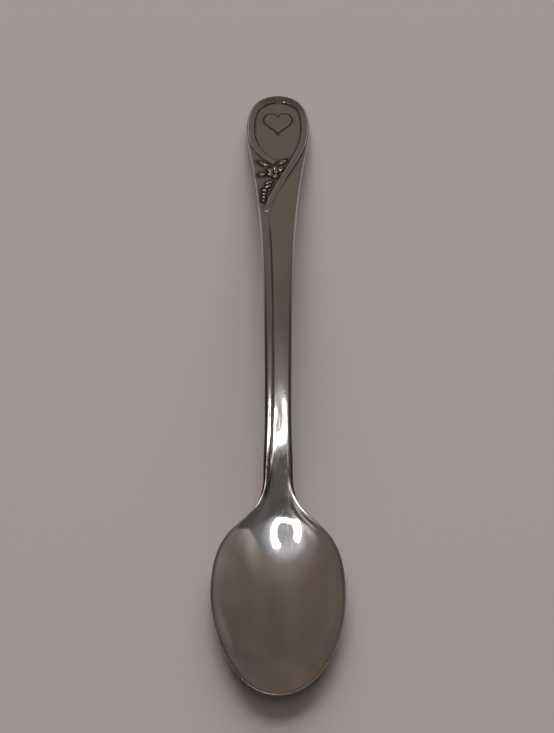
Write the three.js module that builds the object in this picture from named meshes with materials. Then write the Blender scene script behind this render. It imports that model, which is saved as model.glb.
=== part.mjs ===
// A baby's feeding spoon in polished stainless steel. The real spoon is one stamping, and each feature of it
// is a solid here: the bowl, the handle, and the ribbons, sprig and heart raised on the handle's end.
// Millimetres. +Y runs from the bowl's tip to the handle's end, +Z is up, and the spoon lies on Z = 0.
import * as THREE from "three";
import { NURBSCurve } from "three/addons/curves/NURBSCurve.js";

// Plan view. Distances along the spoon are taken from the bowl's tip, or back from the handle's end.
const LENGTH = 137;
const BOWL_WIDTH = 24.3;
const BOWL_WIDEST = 19; // from the tip
const NECK_AT = 41; // from the tip, where the bowl ends and the handle starts
const NECK_WIDTH = 5.54;
const WAIST_RUN = 11; // neck to the narrowest place of the stem
const WAIST_WIDTH = 5;
const END_WIDTH = 13.7;
const END_WIDEST = 10.5; // back from the handle's end
// How long each sweep of the outline holds its direction, as a share of that sweep.
const SHOULDER_SWEEP = { start: 0.73, finish: 0.46 };
const NECK_SWEEP = { start: 0.4, finish: 0.5 };
const FLARE_SWEEP = { start: 0.77, finish: 0.12 };
const END_SWEEP = { start: 0.68, finish: 0.66 };

// Side view. Heights are above the table.
const BOWL_WALL = 1.15;
const BOWL_DEPTH = 3.6; // rim to floor
const BOWL_ROUND = 0.8; // share of the depth that is an even curve across; the rest is gained near the rim
const HEEL_ROUND = 0.55; // the same where the bowl's floor climbs to the neck
const RIM_TURN = 6; // how late the sides turn up, as the power of the distance across
const TIP_REACH = 3; // length of the steep front of the bowl
const TIP_DROP = 1.6; // how far the floor falls in that length
const FLOOR_START = 8; // the level part of the floor, from the tip
const FLOOR_FINISH = 22;
const HEEL_RISE = 0.9; // floor above its lowest, a third of the way from its level part to the neck
const SHOULDER_RISE = 2.5; // the same at two thirds
const SHOULDER_LIP = 0.2; // how far the rim turns up at the shoulders
const NECK_HEIGHT = 6.85;
const STEM_HEIGHT = 11;
const STEM_RUN = 10; // neck to the stem's climb
const ARCH_RUN = 10; // from there to the start of the arch
const ARCH_START_HEIGHT = 13.3;
const ARCH_HEIGHT = 15.6;
const FALL_HEIGHT = 11;
const FALL_BACK = 40; // back from the handle's end, where the arch turns down
const ORNAMENT_HEIGHT = 6.3;
const ORNAMENT_BACK = 23;
const FOOT_HEIGHT = 2.3;
const FOOT_BACK = 9;
const NECK_THICKNESS = 2.65;
const END_THICKNESS = 1.7;
const REST_FLAT = 0.12; // depth of the flats worn where the spoon touches the table
const BOWL_EDGE = 0.35; // radius of the edge on the bowl, the stem and the handle's end
const STEM_EDGE = 0.8;
const END_EDGE = 0.45;
const UNDER_EDGE = 1.2; // radius of the lower edge for each unit of the upper one
const EDGE_LIMIT = 0.4; // most that an edge's radius takes of the metal's thickness

// The groove that sets a narrow rib off along the left of the stem, and the crown of the face beside it.
const GROOVE_WIDTH = 0.6;
const GROOVE_DEPTH = 0.2;
const GROOVE_BACK = 39; // back from the handle's end, where it starts
const GROOVE_FADE = 7; // length over which the groove or the crown forms, and dies away
const RIB_FACE_AT_END = 0.9; // flat of the rib between the rounded edge and the groove
const RIB_FACE_AT_NECK = 0.23;
const STEM_CROWN = 0.05;
const CROWN_AT = 0.7; // its highest line, as a share of the face from the groove to the right edge

// Raised ornament on the handle's end. Places are a share of the half width across, and back from that end.
const SEAT_GAP = 0.04; // left under each raised piece
const RIBBON_TOP_WIDTH = 2.2; // where the two ribbons meet
const RIBBON_GATHER = 5; // back from the end, where they have narrowed to their own width
const RIBBON_WIDTH = 1.4;
const RIBBON_TAIL_WIDTH = 1.15;
const RIBBON_TAPER_FROM = 0.4; // share of the ribbon's length that keeps its full width
const RIBBON_RELIEF = 0.42;
const RIBBON_FADE_FROM = 0.6; // share of the ribbon's length that keeps its full relief
const RIBBON_MARGIN = 0.3; // bare edge outside the ribbon
const RIBBON_PARTING = 0.16; // gap between the two ribbons at the top
const RIBBON_LEAVES = 13; // back from the end, where a ribbon leaves the edge
// Each ribbon's sweep across the handle, and the share of its relief that is left at the tail.
const LEFT_RIBBON = {
  hold: 4, bend: { across: -0.62, back: 20.5 }, tail: { across: -0.12, back: 22.7 }, fade: 0.6 };
const RIGHT_RIBBON = {
  hold: 8.5, bend: { across: -0.3, back: 30.5 }, tail: { across: -0.58, back: 38.4 }, fade: 0.3 };
const BLOSSOM = { across: -0.08, back: 25.75 };
const CENTRE_WIDTH = 1.1;
const CENTRE_RELIEF = 0.62;
const PETALS = 5;
const PETAL_GAP = 0.12; // between the blossom's middle and its petals
const PETAL_LENGTH = 1.4;
const PETAL_WIDTH = 1.2;
const PETAL_RELIEF = 0.5;
const PETAL_TURN = 46; // degrees from +X, the first petal
const PETAL_STEP = 54; // degrees from one petal to the next
const LEAF_RELIEF = 0.4;
// Bearing from the blossom's middle and turn of each leaf in degrees, and its gap to the petals.
// The last one leads to the buds.
const LEAVES = [
  { bearing: 258, turn: 213, gap: 1.1, length: 1.7, width: 0.75 },
  { bearing: 73, turn: 48, gap: 0.7, length: 2.1, width: 1 },
  { bearing: 128, turn: 146, gap: 0.6, length: 2.6, width: 1 },
  { bearing: 195, turn: 197, gap: 0.3, length: 1.5, width: 1.1 },
  { bearing: 257, turn: 213, gap: 2.45, length: 1.6, width: 0.75 },
];
const BUDS = 4;
const BUD_WIDTH = 0.95; // the first, and each next one is smaller by the taper
const BUD_TAPER = 0.1;
const BUD_RELIEF = 0.42;
const BUD_GAP = 0.3;
const BUD_TURN = 267; // degrees from +X, the way that the buds trail
const HEART = { across: 0, back: 9.4 };
const HEART_WIDTH = 6;
const HEART_HEIGHT = 6.6;
const HEART_RELIEF = 0.6;

// Fineness of the skins, as steps along each stretch of the outline and places across.
const FRONT_STEPS = 11;
const SHOULDER_STEPS = 13;
const NECK_STEPS = 4;
const FLARE_STEPS = 30;
const END_STEPS = 9;
const BOWL_PLACES = 10; // across each half of the bowl
const RIBBON_STEP = 1.1;
const LEAF_STEPS = 8;
const DOME_SIDES = 12;
const HEART_SIDES = 36;
const DOME_STEPS = 4;
const CURVE_SAMPLES = 80; // points by which a curve is looked up

const STEEL = { color: 0xb7b0a8, roughness: 0.14, metalness: 1 };

const { clamp, lerp, smoothstep, degToRad } = THREE.MathUtils;
const WAIST_AT = NECK_AT + WAIST_RUN;

// Half of the plan outline, as (along, half width): the bowl's front, shoulder, neck, flare and round end.
function sweepTo(path, along, half, sweep) {
  const from = path.currentPoint.clone();
  const span = along - from.x;
  return path.bezierCurveTo(
    from.x + span * sweep.start, from.y, along - span * sweep.finish, half, along, half);
}

function planOutline() {
  const path = new THREE.Path();
  path.absellipse(BOWL_WIDEST, 0, BOWL_WIDEST, BOWL_WIDTH / 2, Math.PI, Math.PI / 2, true);
  sweepTo(path, NECK_AT, NECK_WIDTH / 2, SHOULDER_SWEEP);
  sweepTo(path, WAIST_AT, WAIST_WIDTH / 2, NECK_SWEEP);
  sweepTo(path, LENGTH - END_WIDEST, END_WIDTH / 2, FLARE_SWEEP);
  path.bezierCurveTo(
    LENGTH - END_WIDEST * (1 - END_SWEEP.start), END_WIDTH / 2,
    LENGTH, END_WIDTH / 2 * END_SWEEP.finish, LENGTH, 0);
  return path.curves;
}

const [front, shoulder, neck, flare, end] = planOutline();

// The floor and the rim are one spline each, on shared stations, and run together past the neck.
function sideProfile() {
  const floor = BOWL_WALL - REST_FLAT;
  const rim = floor + BOWL_DEPTH;
  const third = (NECK_AT - FLOOR_FINISH) / 3;
  const heel = FLOOR_FINISH + third;
  const high = FLOOR_FINISH + 2 * third;
  const middle = (FLOOR_START + FLOOR_FINISH) / 2;
  const climb = NECK_AT + STEM_RUN;
  const archStart = climb + ARCH_RUN;
  const fall = LENGTH - FALL_BACK;
  const stations = [
    [0, rim, rim],
    [TIP_REACH, rim - TIP_DROP, rim],
    [FLOOR_START, floor, rim],
    [middle, floor, rim],
    [FLOOR_FINISH, floor, rim],
    [heel, floor + HEEL_RISE, rim + SHOULDER_LIP / 3],
    [high, floor + SHOULDER_RISE, rim + SHOULDER_LIP],
    [NECK_AT, NECK_HEIGHT, NECK_HEIGHT],
    [climb, STEM_HEIGHT, STEM_HEIGHT],
    [archStart, ARCH_START_HEIGHT, ARCH_START_HEIGHT],
    [(archStart + fall) / 2, ARCH_HEIGHT, ARCH_HEIGHT],
    [fall, FALL_HEIGHT, FALL_HEIGHT],
    [LENGTH - ORNAMENT_BACK, ORNAMENT_HEIGHT, ORNAMENT_HEIGHT],
    [LENGTH - FOOT_BACK, FOOT_HEIGHT, FOOT_HEIGHT],
    [LENGTH, END_THICKNESS - REST_FLAT, END_THICKNESS - REST_FLAT],
  ];
  const degree = 3;
  const spans = stations.length - degree;
  const knots = stations.map((_, i) => Math.max(0, i - degree));
  knots.push(...Array(degree + 1).fill(spans));
  const points = stations.map(([along, low, high]) => new THREE.Vector4(along, low, high, 1));
  return new NURBSCurve(degree, knots, points).getPoints(CURVE_SAMPLES * spans);
}

// Reads a list of points sorted along x at one place, straight between neighbours.
function readAt(points, along) {
  let after = points.findIndex((p) => p.x > along);
  if (after < 1) after = after < 0 ? points.length - 1 : 1;
  const a = points[after - 1];
  const b = points[after];
  return a.clone().lerp(b, clamp((along - a.x) / (b.x - a.x), 0, 1));
}

const profile = sideProfile();
const stretches = [front, shoulder, neck, flare, end];
const outline = stretches.flatMap((curve) => curve.getPoints(CURVE_SAMPLES).slice(1));
outline.unshift(front.getPoint(0));

const halfWidth = (along) => readAt(outline, along).y;

// Cosine of the outline's angle to the spoon's length, which turns a width into a distance to the edge.
function edgeSlant(along) {
  const step = 0.01;
  const low = Math.max(0, along - step);
  const high = Math.min(LENGTH, along + step);
  return Math.cos(Math.atan((halfWidth(high) - halfWidth(low)) / (high - low)));
}

function thickness(along) {
  const neckward = smoothstep(along, FLOOR_FINISH, NECK_AT + STEM_RUN / 2);
  const endward = smoothstep(along, WAIST_AT, LENGTH - END_WIDEST);
  return lerp(lerp(BOWL_WALL, NECK_THICKNESS, neckward), END_THICKNESS, endward);
}

function edgeRadius(along) {
  const neckward = smoothstep(along, FLOOR_FINISH, NECK_AT);
  const endward = smoothstep(along, LENGTH - FALL_BACK - GROOVE_FADE, LENGTH - ORNAMENT_BACK);
  const radius = lerp(lerp(BOWL_EDGE, STEM_EDGE, neckward), END_EDGE, endward);
  return Math.min(radius, EDGE_LIMIT * thickness(along));
}

// Fall of a rounded edge at a distance in from the outline.
function edgeFall(distance, radius) {
  const short = radius - clamp(distance, 0, radius);
  return radius - Math.sqrt(radius * radius - short * short);
}

// How far a feature of the stem is formed: from 0 at its start to 1 past a fade, and back to 0 by the end.
function stemShare(along, start) {
  const finish = LENGTH - GROOVE_BACK;
  const formed = smoothstep(along, start, start + GROOVE_FADE);
  return formed * (1 - smoothstep(along, finish - GROOVE_FADE, finish));
}

// Distance of the groove's middle from the left edge.
function grooveInset(along) {
  const share = (along - NECK_AT) / (LENGTH - GROOVE_BACK - NECK_AT);
  const ribFace = lerp(RIB_FACE_AT_NECK, RIB_FACE_AT_END, clamp(share, 0, 1));
  return edgeRadius(along) + ribFace + GROOVE_WIDTH / 2;
}

function grooveFall(x, along) {
  const off = Math.abs(x + halfWidth(along) - grooveInset(along)) / (GROOVE_WIDTH / 2);
  return off < 1 ? GROOVE_DEPTH * stemShare(along, NECK_AT) * (1 - off) : 0;
}

function crownFall(x, along) {
  const half = halfWidth(along);
  const start = grooveInset(along) + GROOVE_WIDTH / 2 - half;
  const finish = half - edgeRadius(along);
  if (finish <= start) return 0;
  const share = clamp((x - start) / (finish - start), 0, 1);
  return STEM_CROWN * stemShare(along, NECK_AT - GROOVE_FADE) * (2 * (share - CROWN_AT)) ** 2;
}

function dish(x, along) {
  const { y: floor, z: rim } = readAt(profile, along);
  const across = Math.min(1, Math.abs(x) / Math.max(halfWidth(along), BOWL_EDGE));
  const heel = FLOOR_FINISH + (NECK_AT - FLOOR_FINISH) / 3;
  const even = lerp(BOWL_ROUND, HEEL_ROUND, smoothstep(along, BOWL_WIDEST, heel));
  return floor + (rim - floor) * (even * across ** 2 + (1 - even) * across ** RIM_TURN);
}

const edgeDistance = (x, along) => (halfWidth(along) - Math.abs(x)) * edgeSlant(along);

function upperFace(x, along) {
  const rounded = edgeFall(edgeDistance(x, along), edgeRadius(along));
  return dish(x, along) - rounded - grooveFall(x, along) - crownFall(x, along);
}

function lowerFace(x, along) {
  const rise = edgeFall(edgeDistance(x, along), UNDER_EDGE * edgeRadius(along));
  return Math.max(0, dish(x, along) - thickness(along) + rise);
}

// A closed skin over sections of equal count. A section lists its upper points from left to right and its
// lower ones back again, and each end is closed by a flat face or drawn to a point.
function loft(sections, { startPoint, endPoint } = {}) {
  const count = sections[0].length;
  const half = count / 2;
  const points = sections.flat();
  const faces = [];
  const at = (section, i) => section * count + (i % count);
  for (let s = 0; s + 1 < sections.length; s++)
    for (let i = 0; i < count; i++)
      faces.push(at(s, i), at(s, i + 1), at(s + 1, i + 1), at(s, i), at(s + 1, i + 1), at(s + 1, i));
  const last = sections.length - 1;
  if (startPoint) {
    points.push(startPoint);
    for (let i = 0; i < count; i++) faces.push(points.length - 1, at(0, i + 1), at(0, i));
  }
  if (endPoint) {
    points.push(endPoint);
    for (let i = 0; i < count; i++) faces.push(points.length - 1, at(last, i), at(last, i + 1));
  }
  for (let i = 0; i + 1 < half; i++) {
    const corners = [i, count - 1 - i, count - 2 - i, i + 1];
    const [a, b, c, d] = corners.map((corner) => at(0, corner));
    const [e, f, g, h] = corners.map((corner) => at(last, corner));
    if (!startPoint) faces.push(a, b, c, a, c, d);
    if (!endPoint) faces.push(e, g, f, e, h, g);
  }
  const geometry = new THREE.BufferGeometry().setFromPoints(points);
  geometry.setIndex(faces);
  geometry.computeVertexNormals();
  return geometry;
}

// One section of the bowl or the handle at the given places across.
function section(along, across) {
  const y = along - LENGTH / 2;
  const upper = across.map((x) => new THREE.Vector3(x, y, upperFace(x, along)));
  const lower = across.map((x) => new THREE.Vector3(x, y, lowerFace(x, along))).reverse();
  return [...upper, ...lower];
}

function edgeMiddle(along) {
  const height = (upperFace(0, along) + lowerFace(0, along)) / 2;
  return new THREE.Vector3(0, along - LENGTH / 2, height);
}

// The bowl's places across lie closer together at the rim.
function bowlGeometry() {
  const stations = [
    ...front.getPoints(FRONT_STEPS).slice(1), ...shoulder.getPoints(SHOULDER_STEPS).slice(1)];
  const sections = stations.map(({ x: along, y: half }) => {
    const across = [];
    for (let i = -BOWL_PLACES; i <= BOWL_PLACES; i++)
      across.push(half * Math.sin((Math.PI / 2) * (i / BOWL_PLACES)));
    return section(along, across);
  });
  return loft(sections, { startPoint: edgeMiddle(0) });
}

// Places across the handle: round its edges, on the lips and the bottom of the groove, and over its face.
function handleAcross(along, half) {
  const narrow = Math.min(1, half / (WAIST_WIDTH / 2));
  const radius = edgeRadius(along) * narrow;
  const round = [0, 30, 60, 90].map((angle) => radius * (1 - Math.cos(degToRad(angle))));
  const groove = [-0.5, 0, 0.5].map((share) => (grooveInset(along) + share * GROOVE_WIDTH) * narrow);
  const faceStart = groove[2];
  const faceFinish = 2 * half - radius;
  const face = [0.25, 0.5, 0.75].map((share) => lerp(faceStart, faceFinish, share));
  const right = round.map((inset) => 2 * half - inset).reverse();
  return [...round, ...groove, ...face, ...right].map((fromLeft) => fromLeft - half);
}

function handleGeometry() {
  const stations = [
    ...neck.getPoints(NECK_STEPS), ...flare.getPoints(FLARE_STEPS).slice(1),
    ...end.getPoints(END_STEPS).slice(1, -1)];
  const sections = stations.map(({ x: along, y: half }) => section(along, handleAcross(along, half)));
  return loft(sections, { endPoint: edgeMiddle(LENGTH) });
}

// Bends a flat relief, made over z = 0 in its place, onto the handle's upper face.
function drape(geometry) {
  const place = geometry.getAttribute("position");
  for (let i = 0; i < place.count; i++) {
    const face = upperFace(place.getX(i), place.getY(i) + LENGTH / 2);
    place.setZ(i, Math.max(0, place.getZ(i)) + face + SEAT_GAP);
  }
  geometry.computeVertexNormals();
  return geometry;
}

const fromEnd = (x, back) => new THREE.Vector2(x, LENGTH / 2 - back);
const onHandle = ({ across, back }) => fromEnd(across * halfWidth(LENGTH - back), back);

// The place at a distance from another, in a direction given in degrees from +X.
function beside(place, distance, bearing) {
  const turn = degToRad(bearing);
  return new THREE.Vector2(place.x + distance * Math.cos(turn), place.y + distance * Math.sin(turn));
}

// A crowned strip along a list of places, with its width and relief given by the share of the way along,
// and for the width by the place too.
function strip(places, widthAt, reliefAt) {
  const crown = [-1, -0.6, 0, 0.6, 1];
  const shoulderShare = 0.3; // height of the strip's sides for each unit of its crown
  const sections = places.map((place, i) => {
    const before = places[Math.max(0, i - 1)];
    const after = places[Math.min(places.length - 1, i + 1)];
    const way = after.clone().sub(before).normalize();
    const right = new THREE.Vector2(way.y, -way.x);
    const share = i / (places.length - 1);
    const point = (side, height) => {
      const spot = place.clone().addScaledVector(right, (side * widthAt(share, place)) / 2);
      return new THREE.Vector3(spot.x, spot.y, height);
    };
    const height = (side) => reliefAt(share) * lerp(1, shoulderShare, side * side);
    const upper = crown.map((side) => point(side, height(side)));
    const lower = crown.map((side) => point(side, 0)).reverse();
    return [...upper, ...lower];
  });
  return drape(loft(sections));
}

// The ribbons follow the edge from the top of the handle's end, then sweep across it.
const topWidth = (back) => lerp(RIBBON_TOP_WIDTH, RIBBON_WIDTH, smoothstep(back, 0, RIBBON_GATHER));

function ribbonEdge(side) {
  const edge = outline.filter((p) => p.x > LENGTH - RIBBON_LEAVES).reverse();
  const inner = edge.slice(1, -1).map((p, i) => {
    const inset = RIBBON_MARGIN + topWidth(LENGTH - p.x) / 2;
    const way = edge[i + 2].clone().sub(edge[i]).normalize();
    return new THREE.Vector2(p.x - way.y * inset, p.y + way.x * inset);
  });
  const places = inner.filter((p) => p.y > RIBBON_PARTING / 2);
  return places.map((p) => fromEnd(side * p.y, LENGTH - p.x));
}

function ribbonGeometry(side, { hold, bend, tail, fade }) {
  const edge = ribbonEdge(side);
  const leave = edge[edge.length - 1];
  const way = leave.clone().sub(edge[edge.length - 2]).normalize();
  const route = new THREE.CurvePath();
  route.add(new THREE.SplineCurve(edge));
  route.add(new THREE.CubicBezierCurve(
    leave, leave.clone().addScaledVector(way, hold), onHandle(bend), onHandle(tail)));
  const places = route.getSpacedPoints(Math.round(route.getLength() / RIBBON_STEP));
  const width = (share, place) =>
    lerp(topWidth(LENGTH / 2 - place.y), RIBBON_TAIL_WIDTH, smoothstep(share, RIBBON_TAPER_FROM, 1));
  const relief = (share) => RIBBON_RELIEF * lerp(1, fade, smoothstep(share, RIBBON_FADE_FROM, 1));
  return strip(places, width, relief);
}

// A rounded mound over a closed rim, which is a list of places round its middle.
function mound(middle, rim, relief) {
  const point = (x, y, height) => new THREE.Vector3(middle.x + x, middle.y + y, height);
  const rings = [];
  for (let step = 0; step < DOME_STEPS; step++) {
    const turn = (Math.PI / 2) * (step / DOME_STEPS);
    rings.push(rim.map(({ x, y }) => point(x * Math.cos(turn), y * Math.cos(turn), relief * Math.sin(turn))));
  }
  return drape(loft(rings, { startPoint: point(0, 0, 0), endPoint: point(0, 0, relief) }));
}

// A low dome, round or drawn out, as a petal, a bud or the middle of the blossom.
function domeGeometry(place, length, width, relief, turn = 0) {
  const oval = new THREE.EllipseCurve(0, 0, length / 2, width / 2, 0, 2 * Math.PI, false, degToRad(turn));
  return mound(place, oval.getPoints(DOME_SIDES).slice(1), relief);
}

const blossom = onHandle(BLOSSOM);
const petalRing = CENTRE_WIDTH / 2 + PETAL_GAP + PETAL_LENGTH / 2;
const leafRing = petalRing + PETAL_LENGTH / 2;

function petalGeometry(index) {
  const turn = PETAL_TURN + PETAL_STEP * index;
  const place = beside(blossom, petalRing, turn);
  return domeGeometry(place, PETAL_LENGTH, PETAL_WIDTH, PETAL_RELIEF, turn);
}

const leafRoot = ({ bearing, gap }) => beside(blossom, leafRing + gap, bearing);

// A leaf swells from its root and narrows to its tip, in width and in relief.
function leafGeometry(leaf) {
  const least = 0.12;
  const swell = (share) => lerp(least, 1, Math.sin(Math.PI * share ** 0.8));
  const places = [];
  for (let i = 0; i <= LEAF_STEPS; i++)
    places.push(beside(leafRoot(leaf), leaf.length * (i / LEAF_STEPS), leaf.turn));
  return strip(places, (share) => leaf.width * swell(share), (share) => LEAF_RELIEF * swell(share));
}

// The buds trail on from the tip of the last leaf, each a gap beyond the one before.
function budTrail() {
  const lastLeaf = LEAVES[LEAVES.length - 1];
  let tip = beside(leafRoot(lastLeaf), lastLeaf.length, lastLeaf.turn);
  const trail = [];
  for (let i = 0; i < BUDS; i++) {
    const width = BUD_WIDTH - BUD_TAPER * i;
    const place = beside(tip, BUD_GAP + width / 2, BUD_TURN);
    tip = beside(place, width / 2, BUD_TURN);
    trail.push(domeGeometry(place, width, width, BUD_RELIEF));
  }
  return trail;
}

// A plain heart with its point towards the bowl, from the sine curve of that shape.
function heartGeometry() {
  const rim = [];
  for (let i = 0; i < HEART_SIDES; i++) {
    const turn = -2 * Math.PI * (i / HEART_SIDES);
    const lobes =
      13 * Math.cos(turn) - 5 * Math.cos(2 * turn) - 2 * Math.cos(3 * turn) - Math.cos(4 * turn);
    const x = (Math.sin(turn) ** 3 * HEART_WIDTH) / 2;
    const y = (((lobes + 2.5) / 14.5) * HEART_HEIGHT) / 2;
    rim.push(new THREE.Vector2(x, y));
  }
  return mound(onHandle(HEART), rim, HEART_RELIEF);
}

const spoon = new THREE.Group();
spoon.name = "baby_spoon";

function add(name, geometry) {
  const mesh = new THREE.Mesh(geometry, new THREE.MeshStandardMaterial(STEEL));
  mesh.name = name;
  spoon.add(mesh);
}

add("bowl", bowlGeometry());
add("handle", handleGeometry());
add("ribbon_left", ribbonGeometry(-1, LEFT_RIBBON));
add("ribbon_right", ribbonGeometry(1, RIGHT_RIBBON));
for (let i = 0; i < PETALS; i++) add(`petal_${i + 1}`, petalGeometry(i));
add("blossom_centre", domeGeometry(blossom, CENTRE_WIDTH, CENTRE_WIDTH, CENTRE_RELIEF));
LEAVES.forEach((leaf, i) => add(`leaf_${i + 1}`, leafGeometry(leaf)));
budTrail().forEach((geometry, i) => add(`bud_${i + 1}`, geometry));
add("heart", heartGeometry());

export default spoon;
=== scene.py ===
import math

import bmesh
import bpy
import numpy as np
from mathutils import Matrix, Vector, kdtree
from mathutils.geometry import interpolate_bezier


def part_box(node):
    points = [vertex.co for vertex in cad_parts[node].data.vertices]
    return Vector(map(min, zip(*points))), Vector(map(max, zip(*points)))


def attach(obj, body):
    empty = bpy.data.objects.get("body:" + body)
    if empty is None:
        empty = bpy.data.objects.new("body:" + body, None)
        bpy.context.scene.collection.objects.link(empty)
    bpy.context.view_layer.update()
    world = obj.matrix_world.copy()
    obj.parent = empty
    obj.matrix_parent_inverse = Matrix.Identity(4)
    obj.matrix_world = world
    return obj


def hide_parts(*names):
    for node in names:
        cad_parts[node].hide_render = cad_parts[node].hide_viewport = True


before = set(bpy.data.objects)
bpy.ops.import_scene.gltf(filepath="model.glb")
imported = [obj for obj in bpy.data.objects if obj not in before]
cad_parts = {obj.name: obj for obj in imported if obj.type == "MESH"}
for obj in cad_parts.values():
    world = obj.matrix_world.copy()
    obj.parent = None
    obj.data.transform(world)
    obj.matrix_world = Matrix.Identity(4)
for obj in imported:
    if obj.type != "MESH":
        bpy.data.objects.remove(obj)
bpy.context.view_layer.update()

# The bowl: the front of the stamping, a thin dished oval of polished stainless steel.
# It is pressed between two dies, trimmed round its rim and polished inside and out.
MM = 0.001
bowl_low, bowl_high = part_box("bowl")
handle_low, handle_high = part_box("handle")
TIP = bowl_low.y
LENGTH = handle_high.y - TIP
NECK_AT = bowl_high.y - TIP  # from the tip, where the bowl runs into the handle
BOWL_WIDTH = bowl_high.x - bowl_low.x
BOWL_WIDEST = 19 * MM  # from the tip
NECK_WIDTH = 5.54 * MM
WAIST_AT = NECK_AT + 11 * MM  # the narrowest place of the stem
WAIST_WIDTH = 5 * MM
END_WIDTH = handle_high.x - handle_low.x
END_WIDEST = 10.5 * MM  # back from the handle's end
CURVE_POINTS = 3000  # points by which a curve is looked up

# How long each sweep of the outline holds its direction, as a share of that sweep.
SHOULDER_SWEEP = (0.73, 0.46)
NECK_SWEEP = (0.4, 0.5)
FLARE_SWEEP = (0.77, 0.12)
END_SWEEP = (0.68, 0.66)


def bezier(*corners):
    return np.array(interpolate_bezier(*[Vector((*c, 0)) for c in corners], CURVE_POINTS))[:, :2]


def sweep(start, end, hold):
    """A stretch of the outline that leaves and arrives parallel to the spoon's length."""
    span = end[0] - start[0]
    leave = (start[0] + span * hold[0], start[1])
    arrive = (end[0] - span * hold[1], end[1])
    return bezier(start, leave, arrive, end)


# Half of the plan outline, as points of (along from the tip, half width).
turn = np.linspace(0, math.pi / 2, CURVE_POINTS)
front = np.stack([BOWL_WIDEST * (1 - np.cos(turn)), BOWL_WIDTH / 2 * np.sin(turn)], 1)
widest = (BOWL_WIDEST, BOWL_WIDTH / 2)
neck = (NECK_AT, NECK_WIDTH / 2)
waist = (WAIST_AT, WAIST_WIDTH / 2)
end_widest = (LENGTH - END_WIDEST, END_WIDTH / 2)
round_end = bezier(
    end_widest,
    (LENGTH - END_WIDEST * (1 - END_SWEEP[0]), END_WIDTH / 2),
    (LENGTH, END_WIDTH / 2 * END_SWEEP[1]),
    (LENGTH, 0))
outline = np.concatenate([
    front,
    sweep(widest, neck, SHOULDER_SWEEP)[1:],
    sweep(neck, waist, NECK_SWEEP)[1:],
    sweep(waist, end_widest, FLARE_SWEEP)[1:],
    round_end[1:]])

# Side view: heights of the dish's floor and of its rim above the table, one spline each past
# shared stations.
BOWL_WALL = 1.15 * MM
BOWL_DEPTH = 3.6 * MM
BOWL_ROUND = 0.8  # share of the depth that is an even curve across; the rest is gained near the rim
HEEL_ROUND = 0.55  # the same where the bowl's floor climbs to the neck
RIM_TURN = 6  # how late the sides turn up, as the power of the distance across
REST_FLAT = 0.12 * MM  # depth of the flats worn where the spoon touches the table
NECK_THICKNESS = 2.65 * MM
THICKEST_AT = NECK_AT + 5 * MM
END_THICKNESS = 1.7 * MM
FLOOR_FINISH = 22 * MM
ORNAMENT_BACK = 23 * MM  # back from the handle's end
FALL_BACK = 40 * MM
floor_height = BOWL_WALL - REST_FLAT
rim_height = floor_height + BOWL_DEPTH
third = (NECK_AT - FLOOR_FINISH) / 3
arch_start = NECK_AT + 20 * MM
fall = LENGTH - FALL_BACK


def dished(along, rise, lip=0.0):
    return (along, floor_height + rise, rim_height + lip)


def solid(along, height):
    return (along, height, height)


stations = [
    solid(0, rim_height),
    dished(3 * MM, BOWL_DEPTH - 1.6 * MM),
    dished(8 * MM, 0),
    dished(15 * MM, 0),
    dished(FLOOR_FINISH, 0),
    dished(FLOOR_FINISH + third, 0.9 * MM, 0.2 / 3 * MM),
    dished(FLOOR_FINISH + 2 * third, 2.5 * MM, 0.2 * MM),
    solid(NECK_AT, 6.85 * MM),
    solid(NECK_AT + 10 * MM, 11 * MM),
    solid(arch_start, 13.3 * MM),
    solid((arch_start + fall) / 2, 15.6 * MM),
    solid(fall, 11 * MM),
    solid(LENGTH - ORNAMENT_BACK, 6.3 * MM),
    solid(LENGTH - 9 * MM, 2.3 * MM),
    solid(LENGTH, END_THICKNESS - REST_FLAT),
]


def clamped_spline(points, count):
    """Points along the clamped uniform cubic B-spline of a list of control points."""
    points = np.array(points)
    spans = len(points) - 3
    knots = np.concatenate([[0] * 3, np.arange(spans + 1), [spans] * 3])
    at = np.linspace(0, spans, count)
    span = np.minimum(at.astype(int), spans - 1) + 3
    near = [points[span - 3 + i] for i in range(4)]
    for level in range(1, 4):
        for i in range(3, level - 1, -1):
            low = knots[span - 3 + i]
            high = knots[span + 1 + i - level]
            share = ((at - low) / (high - low))[:, None]
            near[i] = (1 - share) * near[i - 1] + share * near[i]
    return near[3]


profile = clamped_spline(stations, 4 * CURVE_POINTS)


def smooth(value, low, high):
    share = np.clip((value - low) / (high - low), 0, 1)
    return share * share * (3 - 2 * share)


def mix(a, b, share):
    return a + (b - a) * share


def half_width(along):
    return np.interp(along, outline[:, 0], outline[:, 1])


def thickness(along):
    neckward = smooth(along, FLOOR_FINISH, THICKEST_AT)
    endward = smooth(along, WAIST_AT, LENGTH - END_WIDEST)
    return mix(mix(BOWL_WALL, NECK_THICKNESS, neckward), END_THICKNESS, endward)


# Radii of the rounded edge on the bowl, on the stem and on the handle's end.
BOWL_EDGE = 0.35 * MM
STEM_EDGE = 0.8 * MM
END_EDGE = 0.45 * MM
UNDER_EDGE = 1.2  # radius of the lower edge for each unit of the upper one
GROOVE_FADE = 7 * MM


def edge_radius(along):
    neckward = smooth(along, FLOOR_FINISH, NECK_AT)
    endward = smooth(along, fall - GROOVE_FADE, LENGTH - ORNAMENT_BACK)
    return mix(mix(BOWL_EDGE, STEM_EDGE, neckward), END_EDGE, endward)


def edge_fall(distance, radius):
    """How far a rounded edge has fallen at a distance in from the outline."""
    short = radius - np.clip(distance, 0, radius)
    return radius - np.sqrt(radius * radius - short * short)


def edge_distance(x, along):
    step = 0.01 * MM
    slope = (half_width(along + step) - half_width(along - step)) / (2 * step)
    return (half_width(along) - abs(x)) / np.sqrt(1 + slope * slope)


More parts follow.
